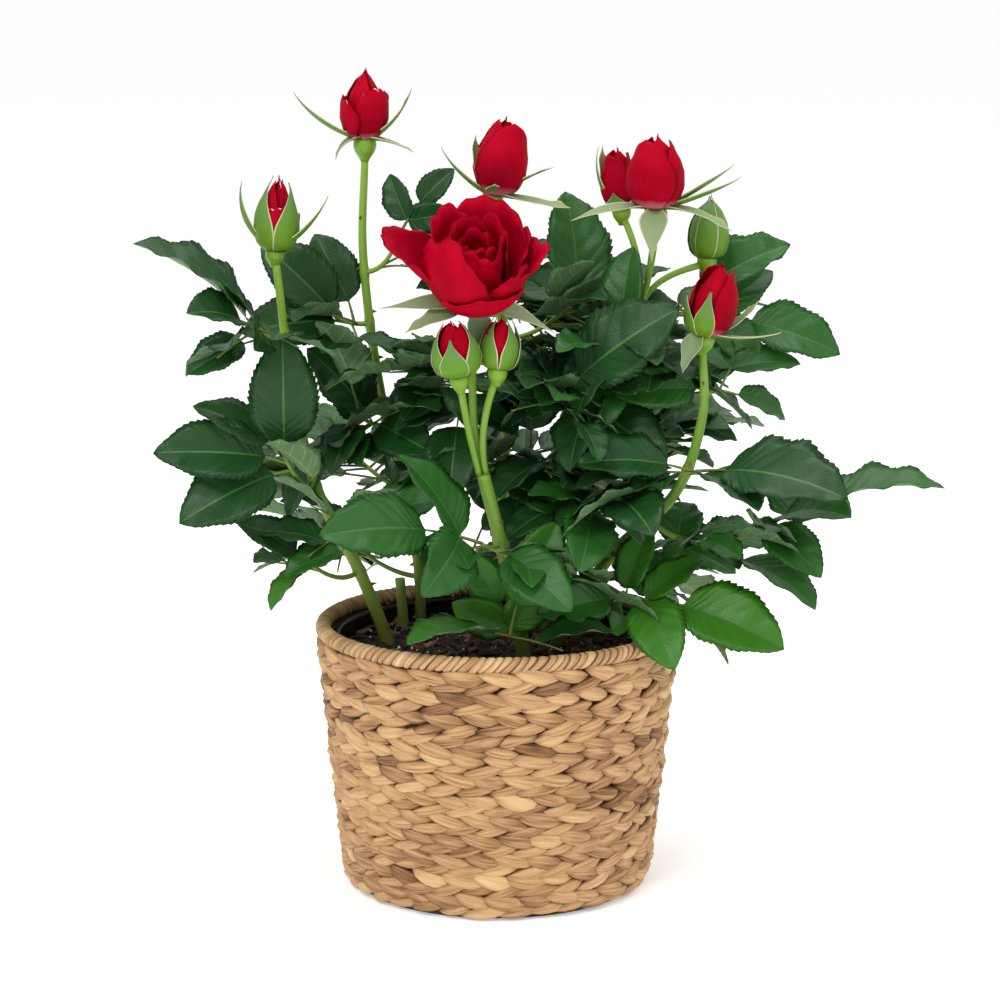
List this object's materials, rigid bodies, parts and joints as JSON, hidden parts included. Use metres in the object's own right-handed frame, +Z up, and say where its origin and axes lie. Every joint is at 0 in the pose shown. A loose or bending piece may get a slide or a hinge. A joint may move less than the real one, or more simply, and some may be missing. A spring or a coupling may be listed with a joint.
{
  "type": "potted miniature rose bush",
  "caption": "Miniature rose bush with red buds and one open bloom, growing from compost in a nursery pot that stands in a braided straw basket.",
  "frame": {"origin": "middle of the flat underside of the basket", "axes": "+Z up along the basket's axis; -Y is the front, where the open rose looks; +X to the right seen from the front"},
  "size_m": [0.3449, 0.2383, 0.3588],
  "materials": {
    "straw": "dry braided water hyacinth, matte",
    "plastic": "thin black nursery pot",
    "compost": "moist dark compost with bark and fibre",
    "stem": "smooth fresh green cane, slightly waxy",
    "leaf": "glossy dark green leaf, pale dull underside",
    "petal": "velvety crimson petal",
    "calyx": "fresh yellow-green calyx"
  },
  "bodies": {
    "root": {"basket": "straw", "rim_cord": "straw", "nursery_pot": "plastic", "compost": "compost", "left_cane": "stem", "tall_cane": "stem", "centre_cane": "stem", "right_cane": "stem", "back_right_cane": "stem", "back_cane": "stem", "front_left_stalk": "stem", "rose_stalk": "stem", "front_right_stalk": "stem", "right_bud_stalk": "stem", "right_back_stalk": "stem", "green_bud_stalk": "stem", "left_bud": "petal", "tall_bud": "petal", "centre_back_bud": "petal", "front_left_bud": "petal", "front_right_bud": "petal", "right_bud": "petal", "right_back_bud": "petal", "green_bud": "calyx", "far_right_bud": "petal", "open_rose": "petal", "left_top_leaves": "leaf", "left_front_leaves": "leaf", "left_low_leaves": "leaf", "left_inner_leaves": "leaf", "tall_left_leaves": "leaf", "tall_middle_leaves": "leaf", "tall_top_leaves": "leaf", "front_low_leaves": "leaf", "front_middle_leaves": "leaf", "right_low_leaves": "leaf", "right_middle_leaves": "leaf", "right_fork_leaves": "leaf", "right_upper_leaves": "leaf", "big_right_leaves": "leaf", "far_right_leaves": "leaf", "top_centre_leaves": "leaf", "under_buds_leaves": "leaf", "right_core_leaves": "leaf", "low_core_leaves": "leaf", "centre_core_leaves": "leaf", "centre_right_leaves": "leaf", "centre_left_leaves": "leaf", "back_left_leaves": "leaf", "back_middle_leaves": "leaf", "back_right_leaves": "leaf", "back_top_leaves": "leaf", "back_low_leaves": "leaf", "right_back_low_leaves": "leaf", "left_back_low_leaves": "leaf"}
  },
  "joints": []
}
